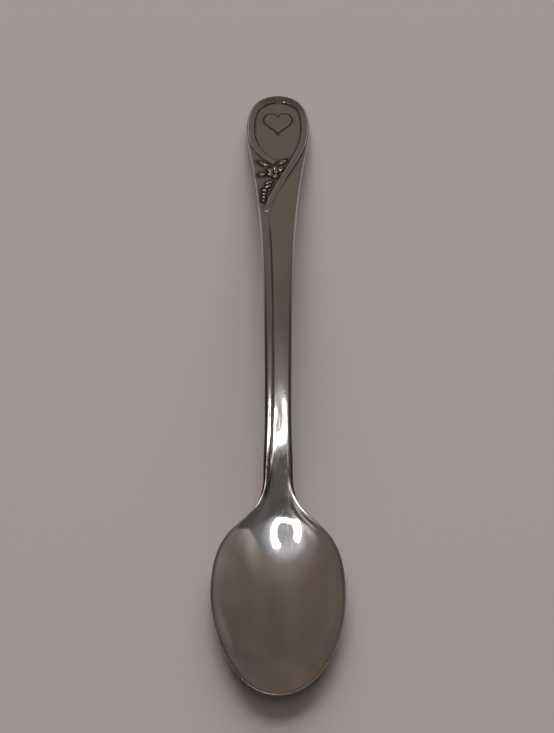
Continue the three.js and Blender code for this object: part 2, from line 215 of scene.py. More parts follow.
def dish(x, along):
    floor = np.interp(along, profile[:, 0], profile[:, 1])
    rim = np.interp(along, profile[:, 0], profile[:, 2])
    across = np.minimum(1, abs(x) / np.maximum(half_width(along), BOWL_EDGE))
    even = mix(BOWL_ROUND, HEEL_ROUND, smooth(along, BOWL_WIDEST, FLOOR_FINISH + third))
    return floor + (rim - floor) * (even * across ** 2 + (1 - even) * across ** RIM_TURN)


# The groove that sets a narrow rib off along the left of the stem, and the crown of the face beside it.
GROOVE_WIDTH = 0.6 * MM
GROOVE_DEPTH = 0.2 * MM
GROOVE_START = LENGTH - 39 * MM
RIB_FACE_AT_END = 0.9 * MM
RIB_FACE_AT_NECK = 0.23 * MM
STEM_CROWN = 0.05 * MM
CROWN_AT = 0.7  # the crown's highest line, as a share of the face from the groove to the right edge


def stem_share(along, start):
    """How far a feature of the stem is formed: 0 at its start, 1 past a fade, and 0 again by the end."""
    formed = smooth(along, start, start + GROOVE_FADE)
    return formed * (1 - smooth(along, GROOVE_START - GROOVE_FADE, GROOVE_START))


def groove_at(along):
    """The middle of the groove, across from the spoon's middle line."""
    share = np.clip((along - NECK_AT) / (GROOVE_START - NECK_AT), 0, 1)
    inset = edge_radius(along) + mix(RIB_FACE_AT_NECK, RIB_FACE_AT_END, share) + GROOVE_WIDTH / 2
    return inset - half_width(along)


def groove_fall(x, along):
    off = np.clip(abs(x - groove_at(along)) / (GROOVE_WIDTH / 2), 0, 1)
    return GROOVE_DEPTH * stem_share(along, NECK_AT) * (1 - off)


def crown_fall(x, along):
    start = groove_at(along) + GROOVE_WIDTH / 2
    finish = half_width(along) - edge_radius(along)
    share = np.clip((x - start) / (finish - start), 0, 1)
    return STEM_CROWN * stem_share(along, NECK_AT - GROOVE_FADE) * (2 * (share - CROWN_AT)) ** 2


def upper_face(x, along):
    rounded = edge_fall(edge_distance(x, along), edge_radius(along))
    return dish(x, along) - rounded - groove_fall(x, along) - crown_fall(x, along)


def lower_face(x, along):
    rise = edge_fall(edge_distance(x, along), UNDER_EDGE * edge_radius(along))
    return np.maximum(0, dish(x, along) - thickness(along) + rise)


def plate(columns, rows):
    """A closed flat plate, from -1 to 1 across and along, with its upper face at 1 and its lower at 0."""
    bm = bmesh.new()
    bmesh.ops.create_grid(bm, x_segments=columns, y_segments=rows, size=1)
    raised = bmesh.ops.extrude_face_region(bm, geom=bm.faces[:], use_keep_orig=True)
    top = [v for v in raised["geom"] if isinstance(v, bmesh.types.BMVert)]
    bmesh.ops.translate(bm, verts=top, vec=(0, 0, 1))
    bmesh.ops.recalc_face_normals(bm, faces=bm.faces[:])
    return bm


def press(bm, place):
    """Moves every point of a plate to the place worked out from its spot on it."""
    spots = np.array([v.co for v in bm.verts])
    for vert, where in zip(bm.verts, place(*spots.T)):
        vert.co = where


# Rows of the stamping: close together round the tip, on the ornament and round the end.
TIP_ROWS = 90
BODY_ROW = 0.4 * MM
ORNAMENT_ROW = 0.2 * MM
END_ROWS = 60
COLUMNS = 110
TIP_START = 0.02  # turn of the first row, just short of the tip's very point
END_STOP = 0.03  # the same of the last row, at the handle's end
WORN_RIM = 0.4 * MM  # what use has rubbed off the left of the bowl's front
WORN_STRETCH = (5 * MM, 9 * MM)  # from the tip, where the rim is rubbed most
WORN_NARROW = 4  # how near the edge the rubbing stays, as the power of the distance across
row_turn = np.linspace(TIP_START, math.pi / 2, TIP_ROWS)
end_turn = np.linspace(0, math.pi / 2 - END_STOP, END_ROWS)[1:]
rows_along = np.concatenate([
    BOWL_WIDEST * (1 - np.cos(row_turn)),
    np.linspace(BOWL_WIDEST, NECK_AT, round((NECK_AT - BOWL_WIDEST) / BODY_ROW))[1:],
    np.linspace(NECK_AT, fall, round((fall - NECK_AT) / BODY_ROW))[1:],
    np.linspace(fall, end_widest[0], round((end_widest[0] - fall) / ORNAMENT_ROW))[1:],
    end_widest[0] + END_WIDEST * np.sin(end_turn)])


def stamping(across, row, top):
    """The whole spoon's skin over a plate: across runs from edge to edge, row from the tip to the end."""
    along = np.interp((row + 1) / 2 * (len(rows_along) - 1), np.arange(len(rows_along)), rows_along)
    x = half_width(along) * np.sin(across * math.pi / 2)
    height = np.where(top > 0.5, upper_face(x, along), lower_face(x, along))
    rubbed = smooth(along, 0, WORN_STRETCH[0]) * (1 - smooth(along, WORN_STRETCH[1], BOWL_WIDEST))
    worn = WORN_RIM * rubbed * np.clip(-across, 0, 1) ** WORN_NARROW
    return np.stack([x + worn, TIP + along, height], 1)


# The finish: colours of the steel and the dark brown of its tarnishing and painted shade, and the roughness
# of its polish, of worn metal and of each mark.
CLEAN_STEEL = (0.725, 0.695, 0.667)
SMEARED_STEEL = (0.69, 0.655, 0.62)
TARNISH_AND_SHADE_BROWN = (0.035, 0.024, 0.019)
POLISH = (0.035, 0.065)  # between the smears and in them
RUBBED = (0.2, 0.34)
SCRATCHED = 0.12
TARNISHED_AND_SHADED = 0.12
TARNISH_AND_SHADE_LEFT = (0.8, 1)  # least and most of the tarnishing and painted shade that its fine patches leave
SCRATCH_TURNS = (math.radians(24), math.radians(-52))
SCRATCH_DEPTH = 0.5  # for each unit of the polish's own ripple
RIPPLE_HEIGHT = 0.01 * MM
RIPPLE_STRENGTH = 0.03


def worn_steel():
    """Polished stainless steel dulled by years of use, made dark brown where the attribute says, for
    tarnished hollows and for painted shade.
    """
    material = bpy.data.materials.new("worn_polished_steel")
    material.use_nodes = True
    nodes = material.node_tree.nodes
    links = material.node_tree.links
    shader = nodes["Principled BSDF"]
    shader.inputs["Metallic"].default_value = 1
    place = nodes.new("ShaderNodeTexCoord")

    def noise(scale, detail, stretch=(1, 1, 1), turn=0.0):
        mapping = nodes.new("ShaderNodeMapping")
        mapping.inputs["Scale"].default_value = stretch
        mapping.inputs["Rotation"].default_value = (0, 0, turn)
        texture = nodes.new("ShaderNodeTexNoise")
        texture.inputs["Scale"].default_value = scale
        texture.inputs["Detail"].default_value = detail
        links.new(place.outputs["Object"], mapping.inputs["Vector"])
        links.new(mapping.outputs["Vector"], texture.inputs["Vector"])
        return texture.outputs["Fac"]

    def remap(value, low, high, least=0, most=1):
        node = nodes.new("ShaderNodeMapRange")
        node.inputs["From Min"].default_value = low
        node.inputs["From Max"].default_value = high
        node.inputs["To Min"].default_value = least
        node.inputs["To Max"].default_value = most
        links.new(value, node.inputs["Value"])
        return node.outputs["Result"]

    def math_node(operation, a, b):
        node = nodes.new("ShaderNodeMath")
        node.operation = operation
        for socket, value in zip(node.inputs, (a, b)):
            if isinstance(value, (int, float)):
                socket.default_value = value
            else:
                links.new(value, socket)
        return node.outputs["Value"]

    def blend(share, a, b):
        """A mix of two colours, of which the first may be another mix."""
        node = nodes.new("ShaderNodeMix")
        node.data_type = "RGBA"
        if isinstance(a, bpy.types.NodeSocket):
            links.new(a, node.inputs["A"])
        else:
            node.inputs["A"].default_value = (*a, 1)
        node.inputs["B"].default_value = (*b, 1)
        links.new(share, node.inputs["Factor"])
        return node.outputs["Result"]

    def marked(name):
        """How far a point is darkened by tarnishing and painted shade, or how far it is worn, from the
        piece's own attribute.
        """
        node = nodes.new("ShaderNodeAttribute")
        node.attribute_name = name
        return node.outputs["Fac"]

    # Fine scratches in two directions, and the soft smears that fingers and washing leave.
    scratch_a = remap(noise(900, 2, stretch=(9, 0.35, 1), turn=SCRATCH_TURNS[0]), 0.62, 0.72)
    scratch_b = remap(noise(700, 2, stretch=(10, 0.3, 1), turn=SCRATCH_TURNS[1]), 0.63, 0.72)
    scratches = math_node("MAXIMUM", scratch_a, scratch_b)
    smears = remap(noise(160, 4), 0.35, 0.7)
    polish = math_node("ADD", remap(smears, 0, 1, *POLISH), math_node("MULTIPLY", scratches, SCRATCHED))

    # The dark mask: tarnishing and painted shade from the attribute, in fine patches, mixed towards a dark
    # brown.
    patchy = remap(noise(2500, 3), 0.25, 0.6, *TARNISH_AND_SHADE_LEFT)
    dark = math_node("MULTIPLY", marked("tarnish_and_shade"), patchy)
    clean = blend(smears, CLEAN_STEEL, SMEARED_STEEL)
    links.new(blend(dark, clean, TARNISH_AND_SHADE_BROWN), shader.inputs["Base Color"])
    rubbed = math_node("MULTIPLY", marked("wear"), remap(smears, 0, 1, *RUBBED))
    rough = math_node("ADD", math_node("ADD", polish, rubbed), math_node("MULTIPLY", dark, TARNISHED_AND_SHADED))
    links.new(rough, shader.inputs["Roughness"])

    bump = nodes.new("ShaderNodeBump")
    bump.inputs["Strength"].default_value = RIPPLE_STRENGTH
    bump.inputs["Distance"].default_value = RIPPLE_HEIGHT
    scored = math_node("MULTIPLY", scratches, SCRATCH_DEPTH)
    links.new(math_node("SUBTRACT", noise(420, 2), scored), bump.inputs["Height"])
    links.new(bump.outputs["Normal"], shader.inputs["Normal"])
    return material


steel = worn_steel()


def add_piece(name, bm, node):
    mesh = bpy.data.meshes.new(name)
    bm.to_mesh(mesh)
    bm.free()
    mesh.polygons.foreach_set("use_smooth", [True] * len(mesh.polygons))
    mesh.materials.append(steel)
    piece = bpy.data.objects.new(name, mesh)
    bpy.context.collection.objects.link(piece)
    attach(piece, "root")
    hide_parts(node)
    return piece


def stamped_part(name, node, keep):
    """One side of the neck, closed there by a flat face, with the normals of the whole stamping."""
    bm = plate(COLUMNS, len(rows_along) - 1)
    press(bm, stamping)
    bm.normal_update()
    skin_normal = bm.verts.layers.float_vector.new("skin_normal")
    for vert in bm.verts:
        vert[skin_normal] = vert.normal
    neck_plane = (0, TIP + NECK_AT, 0)
    cut = bmesh.ops.bisect_plane(
        bm, geom=bm.verts[:] + bm.edges[:] + bm.faces[:], dist=0.001 * MM,
        plane_co=neck_plane, plane_no=(0, keep, 0), clear_inner=True)
    rim = [e for e in cut["geom_cut"] if isinstance(e, bmesh.types.BMEdge)]
    cap = bmesh.ops.edgeloop_fill(bm, edges=rim)["faces"][0]
    cap.normal_update()
    if cap.normal.y * keep > 0:
        cap.normal_flip()
    piece = add_piece(name, bm, node)
    mesh = piece.data
    smooth_normals = [Vector(n.vector) for n in mesh.attributes["skin_normal"].data]
    normals = []
    for face in mesh.polygons:
        for vert in face.vertices:
            normals.append(smooth_normals[vert] if len(face.vertices) == 4 else face.normal)
    mesh.normals_split_custom_set(normals)
    mesh.attributes.remove(mesh.attributes["skin_normal"])
    return piece


bowl = stamped_part("spoon_bowl", "bowl", -1)

# The handle: the rest of the same stamping, a solid strip that arches up from the neck and flares
# to a round end, with a groove along its left side that leaves a narrow rib.
handle = stamped_part("spoon_handle", "handle", 1)

# The ribbons: two flat bands struck up from the handle's face, the same steel.
# They follow the edge of the round end from its top, then cross the handle and narrow to a tail.
RIBBON_TOP_WIDTH = 2.2 * MM  # where the two meet
RIBBON_GATHER = 5 * MM  # back from the handle's end, where they have narrowed to their own width
RIBBON_WIDTH = 1.4 * MM
RIBBON_TAIL_WIDTH = 1.15 * MM
RIBBON_TAPER_FROM = 0.4
RIBBON_RELIEF = 0.42 * MM
RIBBON_FADE_FROM = 0.6
RIBBON_ROUND = 0.03  # share of a ribbon's length over which its top end swells up
RIBBON_MARGIN = 0.3 * MM  # bare edge outside a ribbon
RIBBON_PARTING = 0.16 * MM  # gap between the two at the top
RIBBON_LEAVES = 13 * MM  # back from the handle's end, where a ribbon leaves the edge
RIBBON_STEP = 0.12 * MM
RIBBON_COLUMNS = 24
OUTLINE_STEP = 40  # a ribbon follows every so many points of the outline
BAND_SQUARE = 5  # how late a ribbon's sides fall, as the power of the distance across
BAND_CROWN = 0.12  # share of its relief that a ribbon loses from its middle to its sides
RIBBON_TOP_SHADE = 0.5  # painted shade at the top, where the two meet
RIBBON_TOP_SHADE_FADE = (0.04, 0.3)  # shares of a ribbon's length between which that painted shade fades
PARTING_TARNISH_AND_SHADE = 0.3  # share of the tarnishing and painted shade by a ribbon's foot that stays in the parting
EDGE_TARNISH_AND_SHADE = 0.3  # the same along the handle's edge
WIPED_REACH = (0.3 * MM, 1.2 * MM)  # in from the edge
BLOTCHES = (19, 47)  # two waves of more and less tarnishing and painted shade, in radians from a ribbon's top to its tail
BLOTCH_DEPTH = 0.15
FOOT_TARNISH_AND_SHADE = 0.35  # share of the relief up to which a raised piece is darkened by tarnishing and painted shade
SINK = 0.05 * MM  # how far a raised piece's foot runs into the face
END = TIP + LENGTH
ribbon_feet = []


def on_handle(across, back):
    """A place on the handle from a share of the half width and a distance back from its end."""
    return Vector((across * half_width(LENGTH - back), END - back))


def raised(x, y, top, relief):
    """Points of a raised piece over their spots in plan: its crown for the top, else its sunk foot."""
    face = upper_face(x, y - TIP)
    return np.stack([x, y, face + np.where(top > 0.5, relief, 0) - SINK], 1)


def mark(piece, name, share):
    """Sets how far each point of a piece is darkened by tarnishing and painted shade, or worn, from 0 to 1.
    """
    layer = piece.data.attributes.new(name, "FLOAT", "POINT")
    layer.data.foreach_set("value", np.asarray(share, np.float32))


def raised_piece(name, node, bm, relief, feet, strength=1.0, painted_top_shade=0.0, wear=0.0):
    """A piece of the ornament, tarnished and painted with shade at its foot, whose points join the list that
    the crease darkening gathers round.
    """
    piece = add_piece(name, bm, node)
    points = np.array([v.co for v in piece.data.vertices])
    height = points[:, 2] - upper_face(points[:, 0], points[:, 1] - TIP)
    mark(piece, "tarnish_and_shade", np.maximum(strength * (1 - smooth(height, 0, FOOT_TARNISH_AND_SHADE * relief)), painted_top_shade))
    mark(piece, "wear", np.full(len(points), wear))
    strengths = np.broadcast_to(strength, len(points))
    feet.extend((*point, share) for point, share in zip(points[:, :2], strengths))


def even_points(route, step):
    """Places at even steps along a route, and the share of the way of each."""
    length = np.concatenate([[0], np.cumsum(np.linalg.norm(np.diff(route, axis=0), axis=1))])
    share = np.linspace(0, 1, round(length[-1] / step) + 1)
    spots = np.stack([np.interp(share * length[-1], length, route[:, i]) for i in (0, 1)], 1)
    return spots, share


def strip(spots, widths, reliefs, columns, crown):
    """A raised strip past places in plan, and the share of the way along of each of its points.
    Crown gives its height across, from edge to edge, as a share."""
    way = np.gradient(spots, axis=0)
    way /= np.linalg.norm(way, axis=1)[:, None]
    bm = plate(columns, len(spots) - 1)

    def place(across, row, top):
        i = np.round((row + 1) / 2 * (len(spots) - 1)).astype(int)
        side = np.sin(across * math.pi / 2)
        offset = side * widths[i] / 2
        x = spots[i, 0] + way[i, 1] * offset
        y = spots[i, 1] - way[i, 0] * offset
        return raised(x, y, top, (reliefs[i] + SINK) * crown(side))

    rows = np.array([(v.co.y + 1) / 2 for v in bm.verts])
    press(bm, place)
    return bm, rows


def top_width(back):
    return mix(RIBBON_TOP_WIDTH, RIBBON_WIDTH, smooth(back, 0, RIBBON_GATHER))


def flat_band(side):
    return np.sqrt(np.clip(1 - abs(side) ** BAND_SQUARE, 0, 1)) * (1 - BAND_CROWN * side * side)


def ribbon(side, node, hold, bend, tail, fade):
    """A ribbon down the left, -1, or the right, 1. Hold is how far it keeps its way past the edge, bend and
    tail are where it is drawn to and ends, and fade is the share of the relief that is left there."""
    edge = outline[outline[:, 0] > LENGTH - RIBBON_LEAVES][::-OUTLINE_STEP]
    inset = (RIBBON_MARGIN + top_width(LENGTH - edge[:, 0]) / 2)[:, None]
    way = np.gradient(edge, axis=0)
    way /= np.linalg.norm(way, axis=1)[:, None]
    inner = edge + inset * np.stack([-way[:, 1], way[:, 0]], 1)
    inner = inner[inner[:, 1] > RIBBON_PARTING / 2]
    along_edge = np.stack([side * inner[:, 1], TIP + inner[:, 0]], 1)
    leave = Vector(along_edge[-1])
    heading = (leave - Vector(along_edge[-2])).normalized()
    across = bezier(leave, leave + hold * heading, on_handle(*bend), on_handle(*tail))
    spots, share = even_points(np.concatenate([along_edge, across[1:]]), RIBBON_STEP)
    widths = mix(top_width(END - spots[:, 1]), RIBBON_TAIL_WIDTH, smooth(share, RIBBON_TAPER_FROM, 1))
    left_over = mix(1, fade, smooth(share, RIBBON_FADE_FROM, 1))
    reliefs = RIBBON_RELIEF * left_over * np.sqrt(np.clip(share / RIBBON_ROUND, 0, 1))
    bm, rows = strip(spots, widths, reliefs, RIBBON_COLUMNS, flat_band)
    # Tarnishing and painted shade round a ribbon's foot, less in the parting and by the handle's edge and
    # uneven along it, with painted shade at its top.
    joined = mix(PARTING_TARNISH_AND_SHADE, 1, smooth(rows, 0, RIBBON_ROUND / 2))
    x, y = np.array([v.co.xy for v in bm.verts]).T
    away_from_edge = mix(EDGE_TARNISH_AND_SHADE, 1, smooth(edge_distance(x, y - TIP), *WIPED_REACH))
    waves = np.sin(BLOTCHES[0] * rows + side) * np.sin(BLOTCHES[1] * rows)
    uneven = 1 - BLOTCH_DEPTH * (1 - waves)
    strength = joined * away_from_edge * uneven * mix(1, fade, smooth(rows, RIBBON_FADE_FROM, 1))
    painted_top_shade = RIBBON_TOP_SHADE * (1 - smooth(rows, *RIBBON_TOP_SHADE_FADE))
    raised_piece(f"raised_{node}", node, bm, RIBBON_RELIEF, ribbon_feet, strength, painted_top_shade)


ribbon(-1, "ribbon_left", 4 * MM, bend=(-0.62, 20.5 * MM), tail=(-0.12, 22.7 * MM), fade=0.6)
ribbon(1, "ribbon_right", 8.5 * MM, bend=(-0.3, 30.5 * MM), tail=(-0.58, 38.4 * MM), fade=0.3)

# The blossom: five low oval petals round a small domed middle, raised from the face by the die.
# It lies where the ribbons cross, a little left of the handle's middle.
BLOSSOM = on_handle(-0.08, 25.75 * MM)
CENTRE_WIDTH = 1.1 * MM
CENTRE_RELIEF = 0.62 * MM
PETALS = 5
PETAL_GAP = 0.12 * MM
PETAL_LENGTH = 1.4 * MM
PETAL_WIDTH = 1.2 * MM
PETAL_RELIEF = 0.5 * MM
PETAL_HOLLOW = 0.4
PETAL_LIFT = 0.35
PETAL_TURN = math.radians(46)  # bearing of the first petal
PETAL_STEP = math.radians(54)
PETAL_RING = CENTRE_WIDTH / 2 + PETAL_GAP + PETAL_LENGTH / 2
DOME_CELLS = 18
DOME_ROUND = 0.85  # how full a dome is, as the power of its fall
CUP_WIDTH = 0.75  # share of a dome's width that a hollow takes
SPRIG_WEAR = 0.1
sprig_feet = []


def beside(place, distance, bearing):
    return place + distance * Vector((math.cos(bearing), math.sin(bearing)))


def disc(across, row):
    """A square plate's spots spread over a round disc, and their distance from its middle."""
    a = across * np.sqrt(1 - row * row / 2)
    b = row * np.sqrt(1 - across * across / 2)
    return a, b, np.minimum(1, np.hypot(a, b))


def dome_piece(name, node, place, length, width, relief, bearing=0.0, hollow=0.0, lift=0.0):
    """A low oval dome. Hollow and lift, shares of its relief, cup its middle and raise its far side."""
    bm = plate(DOME_CELLS, DOME_CELLS)

    def spot(across, row, top):
        a, b, away = disc(across, row)
        swell = (1 - away ** 2) ** DOME_ROUND
        cup = hollow * np.cos(np.minimum(1, away / CUP_WIDTH) * math.pi / 2) ** 2
        x = place.x + a * length / 2 * math.cos(bearing) - b * width / 2 * math.sin(bearing)
        y = place.y + a * length / 2 * math.sin(bearing) + b * width / 2 * math.cos(bearing)
        return raised(x, y, top, (relief + SINK) * (swell - cup) * (1 + lift * a))

    press(bm, spot)
    raised_piece(name, node, bm, relief, sprig_feet, wear=SPRIG_WEAR)


dome_piece("raised_blossom_centre", "blossom_centre", BLOSSOM, CENTRE_WIDTH, CENTRE_WIDTH, CENTRE_RELIEF)
for i in range(PETALS):
    bearing = PETAL_TURN + PETAL_STEP * i
    dome_piece(
        f"raised_petal_{i + 1}", f"petal_{i + 1}", beside(BLOSSOM, PETAL_RING, bearing),
        PETAL_LENGTH, PETAL_WIDTH, PETAL_RELIEF, bearing, PETAL_HOLLOW, PETAL_LIFT)

# The leaves: five narrow blades round the blossom, struck up with it, each with a vein along its middle.
# The last one leads down to the buds.
LEAF_RELIEF = 0.4 * MM
LEAF_STEP = 0.08 * MM
LEAF_COLUMNS = 16
LEAF_TIP = 0.12  # width and relief at a leaf's ends, as a share of those at its belly
LEAF_BELLY = 0.8  # power that draws the belly towards the root
BLADE_FULL = 3  # how late a leaf's sides fall, as the power of the distance across
VEIN_DEPTH = 0.3  # of the relief
VEIN_WIDTH = 0.18  # of half the width
LEAF_RING = PETAL_RING + PETAL_LENGTH / 2
# Bearing from the blossom's middle and turn in degrees, then gap to the petals, length and width.
LEAVES = [
    (258, 213, 1.1 * MM, 1.7 * MM, 0.75 * MM),
    (73, 48, 0.7 * MM, 2.1 * MM, 1 * MM),
    (128, 146, 0.6 * MM, 2.6 * MM, 1 * MM),
    (195, 197, 0.3 * MM, 1.5 * MM, 1.1 * MM),
    (257, 213, 2.45 * MM, 1.6 * MM, 0.75 * MM),
]


def blade(side):
    full = np.sqrt(np.clip(1 - abs(side) ** BLADE_FULL, 0, 1))
    return full - VEIN_DEPTH * np.exp(-(side / VEIN_WIDTH) ** 2)


for i, (bearing, turned, gap, length, width) in enumerate(LEAVES):
    root = beside(BLOSSOM, LEAF_RING + gap, math.radians(bearing))
    tip = beside(root, length, math.radians(turned))
    spots, share = even_points(np.array([root, tip]), LEAF_STEP)
    swell = mix(LEAF_TIP, 1, np.sin(math.pi * share ** LEAF_BELLY))
    bm = strip(spots, width * swell, LEAF_RELIEF * swell, LEAF_COLUMNS, blade)[0]
    raised_piece(f"raised_leaf_{i + 1}", f"leaf_{i + 1}", bm, LEAF_RELIEF, sprig_feet, wear=SPRIG_WEAR)

# The buds: a trail of four small round beads below the last leaf, raised by the same die.
# Each is smaller than the one before.
BUDS = 4
BUD_WIDTH = 0.95 * MM
BUD_TAPER = 0.1 * MM
BUD_RELIEF = 0.42 * MM
BUD_GAP = 0.3 * MM
BUD_TURN = math.radians(267)  # bearing of the trail
for i in range(BUDS):
    width = BUD_WIDTH - BUD_TAPER * i
    place = beside(tip, BUD_GAP + width / 2, BUD_TURN)
    tip = beside(place, width / 2, BUD_TURN)
    dome_piece(f"raised_bud_{i + 1}", f"bud_{i + 1}", place, width, width, BUD_RELIEF)

# The heart: a plain puffed heart in the field between the ribbons, struck up from the same steel.
# Its point is towards the bowl.
HEART = on_handle(0, 9.4 * MM)
HEART_WIDTH = 6 * MM
HEART_HEIGHT = 6.6 * MM
HEART_RELIEF = 0.6 * MM
HEART_CELLS = 44
HEART_PUFF = 3  # how late its sides fall, as the power of the distance out
# The heart's curve in its own units: how far its middle lies below its origin, and half its height.
CURVE_MIDDLE = 2.5
CURVE_REACH = 14.5
heart_bm = plate(HEART_CELLS, HEART_CELLS)


def heart_spot(across, row, top):
    a, b, away = disc(across, row)
    turn = np.arctan2(a, b)
    side = np.sin(turn) ** 3
    lobes = 13 * np.cos(turn) - 5 * np.cos(2 * turn) - 2 * np.cos(3 * turn) - np.cos(4 * turn)
    x = HEART.x + away * side * HEART_WIDTH / 2
    y = HEART.y + away * (lobes + CURVE_MIDDLE) / CURVE_REACH * HEART_HEIGHT / 2
    return raised(x, y, top, (HEART_RELIEF + SINK) * np.sqrt(1 - away ** HEART_PUFF))


press(heart_bm, heart_spot)
raised_piece("raised_heart", "heart", heart_bm, HEART_RELIEF, ribbon_feet)

# Painted shade and tarnishing round the raised work: real tarnishing in the creases, where no cloth reaches,
# deepened with painted shade.
# The painted shade is darkest against the foot of each raised piece and in the gaps between sprig and
# ribbons. It also lines the groove, the rib by the neck and the sides of the stem, and darkens the rim and
# the front of the bowl.
RIBBON_CREASE = 0.36 * MM  # how far tarnishing and painted shade reach out from the foot of a ribbon
SPRIG_CREASE = 0.7 * MM
GAP_CREASE = 1.3 * MM  # the widest gap, foot to foot, that still gets some painted shadow
EDGE_CREASE = 0.55 * MM  # width of the painted shade line along a ribbon, and how near the sprig it is
EDGE_REACH = 2 * MM
# The stem's painted shade begins at the shoulders, and by the neck it lies wider, in the groove and on the
# sides.
SHOULDERS = (NECK_AT - 5 * MM, NECK_AT - 3 * MM)
PAST_NECK = (NECK_AT + 3 * MM, NECK_AT + 7 * MM)
NECK_GROOVE = 2
NECK_SIDES = 1.3
NECK_FILL = 3  # how fully it fills the groove there, as the power of the distance from the middle
GROOVE_SHADE = 0.9
GROOVE_SHADE_FROM = NECK_AT - 6 * MM
RIB_SHADE = 0.9
SIDE_SHADE = 0.95
SIDE_FULL = 0.3  # share of the sides' width where the painted shade is full
RIM_SHADE = (0.6, 0.45)  # painted shade on the rim, on the left and on the right of the bowl
RIM_BAND = (0.25 * MM, 0.8 * MM)  # in from the edge, where it fades
FRONT_SHADE = 0.13  # painted shade inside the front of the bowl
FRONT_FADE = (0.5 * BOWL_WIDEST, 1.2 * BOWL_WIDEST)
# Wear: the bowl's rim is rubbed dull towards its front, and the stem a little.
RUBBED_BAND = (0.1 * MM, 0.35 * MM)  # in from the edge, where the wear fades
RUBBED_UNTIL = NECK_AT - 8 * MM
STEM_WEAR = 0.12


def crease_darkening(feet, reach, points):
    """The tarnishing and painted shade round a list of feet at each point, and the point's distance from the
    nearest foot.
    """
    tree = kdtree.KDTree(len(feet))
    for i, foot in enumerate(feet):
        tree.insert((*foot[:2], 0), i)
    tree.balance()
    found = [tree.find((x, y, 0)) for x, y in points[:, :2]]
    away = np.array([distance for place, i, distance in found])
    strength = np.array([feet[i][2] for place, i, distance in found])
    return strength * np.exp(-(away / reach) ** 2), away


for part in (bowl, handle):
    points = np.array([v.co for v in part.data.vertices])
    across = points[:, 0]
    along = points[:, 1] - TIP
    by_ribbons, from_ribbons = crease_darkening(ribbon_feet, RIBBON_CREASE, points)
    by_sprig, from_sprig = crease_darkening(sprig_feet, SPRIG_CREASE, points)
    # Painted shadow in the gaps between sprig and ribbons, and a painted shade line along a ribbon beside the
    # sprig.
    gaps = np.exp(-((from_ribbons + from_sprig) / GAP_CREASE) ** 2)
    beside_sprig = np.exp(-(from_ribbons / EDGE_CREASE) ** 2 - (from_sprig / EDGE_REACH) ** 2)
    past_shoulders = smooth(along, *SHOULDERS)
    by_neck = past_shoulders * (1 - smooth(along, *PAST_NECK))
    # Painted shade in the groove, on the rib by the neck and on the sides of the stem.
    off = abs(across - groove_at(along)) / (GROOVE_WIDTH / 2 * mix(1, NECK_GROOVE, by_neck))
    lining = 1 - np.clip(off, 0, 1) ** mix(1, NECK_FILL, by_neck)
    grooved = GROOVE_SHADE * lining * stem_share(along, GROOVE_SHADE_FROM)
    ribbed = RIB_SHADE * by_neck * (across < groove_at(along))
    inward = edge_distance(across, along)
    stem = past_shoulders * (1 - smooth(along, arch_start, fall))
    side_width = STEM_EDGE * mix(1, NECK_SIDES, by_neck)
    sides = SIDE_SHADE * stem * (1 - smooth(inward, SIDE_FULL * side_width, side_width))
    # Painted shade along the rim, heavier on the left, and inside the front of the bowl.
    painted_rim_shade = mix(*RIM_SHADE, smooth(across, -BOWL_WIDTH / 4, BOWL_WIDTH / 2))
    painted_rim_shade *= (1 - smooth(inward, *RIM_BAND)) * (1 - smooth(along, FLOOR_FINISH, NECK_AT))
    painted_front_shade = FRONT_SHADE * (1 - smooth(along, *FRONT_FADE))
    darkening = [by_ribbons, by_sprig, gaps, beside_sprig, grooved, ribbed, sides, painted_rim_shade, painted_front_shade]
    mark(part, "tarnish_and_shade", np.max(darkening, axis=0))
    rubbed_rim = (1 - smooth(inward, *RUBBED_BAND)) * (1 - smooth(along, BOWL_WIDEST, RUBBED_UNTIL))
    mark(part, "wear", np.maximum(rubbed_rim, STEM_WEAR * stem))

# The table: a plain matt sheet under the spoon.
# Seen from far off it fades into a backdrop of the same tone.
TABLE_TONE = (0.337, 0.297, 0.288)
TABLE_FADE = (0.16, 0.5)  # distances from the spoon's middle
TABLE_HALF = 3
table_bm = bmesh.new()
bmesh.ops.create_grid(table_bm, x_segments=1, y_segments=1, size=TABLE_HALF)
table_mesh = bpy.data.meshes.new("table")
table_bm.to_mesh(table_mesh)
table_bm.free()
table = bpy.data.objects.new("table", table_mesh)
bpy.context.collection.objects.link(table)
table_finish = bpy.data.materials.new("matt_table")
table_finish.use_nodes = True
table_shader = table_finish.node_tree.nodes["Principled BSDF"]
table_shader.inputs["Base Color"].default_value = (*TABLE_TONE, 1)
table_shader.inputs["Roughness"].default_value = 0.9
table_shader.inputs["Specular IOR Level"].default_value = 0.1
table_nodes = table_finish.node_tree.nodes
table_links = table_finish.node_tree.links
spot = table_nodes.new("ShaderNodeTexCoord")
from_spoon = table_nodes.new("ShaderNodeVectorMath")
from_spoon.operation = "LENGTH"
table_links.new(spot.outputs["Object"], from_spoon.inputs[0])
fade = table_nodes.new("ShaderNodeMapRange")
fade.inputs["From Min"].default_value, fade.inputs["From Max"].default_value = TABLE_FADE
table_links.new(from_spoon.outputs["Value"], fade.inputs["Value"])
to_camera = table_nodes.new("ShaderNodeMath")
to_camera.operation = "MULTIPLY"
table_links.new(fade.outputs["Result"], to_camera.inputs[0])
table_links.new(table_nodes.new("ShaderNodeLightPath").outputs["Is Camera Ray"], to_camera.inputs[1])
backdrop = table_nodes.new("ShaderNodeEmission")
backdrop.inputs["Color"].default_value = (*TABLE_TONE, 1)
faded = table_nodes.new("ShaderNodeMixShader")
table_links.new(to_camera.outputs["Value"], faded.inputs["Fac"])
table_links.new(table_shader.outputs["BSDF"], faded.inputs[1])
table_links.new(backdrop.outputs["Emission"], faded.inputs[2])
table_links.new(faded.outputs["Shader"], table_nodes["Material Output"].inputs["Surface"])
table_mesh.materials.append(table_finish)

